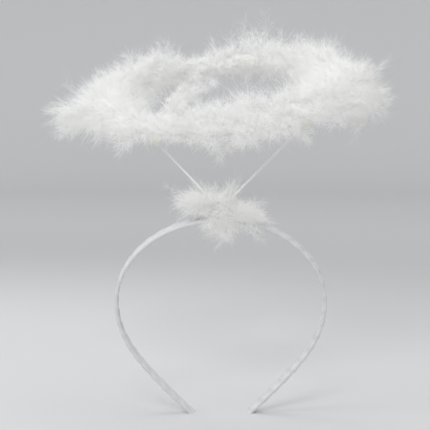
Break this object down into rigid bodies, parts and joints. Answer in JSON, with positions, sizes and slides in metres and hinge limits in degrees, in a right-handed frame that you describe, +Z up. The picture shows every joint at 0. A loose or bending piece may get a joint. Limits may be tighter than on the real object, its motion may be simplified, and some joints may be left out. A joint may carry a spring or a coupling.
{
  "type": "halo headband",
  "caption": "Ribbon-wound costume headband with a feathered wire halo held above it on two thin wires and a feather tuft at the crown.",
  "frame": {"origin": "on the floor under the middle of the whole object as it stands on the two ends of its band", "axes": "+X across the head to the right as seen from the front, +Y to the back, +Z up; the band leans to the front, so its crown lies at negative Y"},
  "size_m": [0.217, 0.1904, 0.2403],
  "materials": {
    "satin_ribbon": "white satin ribbon wound over a plastic strip",
    "white_wire": "white lacquer on steel wire",
    "dried_glue": "cream dried glue",
    "marabou": "white marabou down"
  },
  "bodies": {
    "root": {"band": "satin_ribbon", "stem_left": "white_wire", "stem_right": "white_wire", "hoop": "white_wire", "glue_bead_left": "dried_glue", "glue_bead_right": "dried_glue", "halo_marabou": "marabou", "puff_marabou": "marabou"}
  },
  "joints": []
}
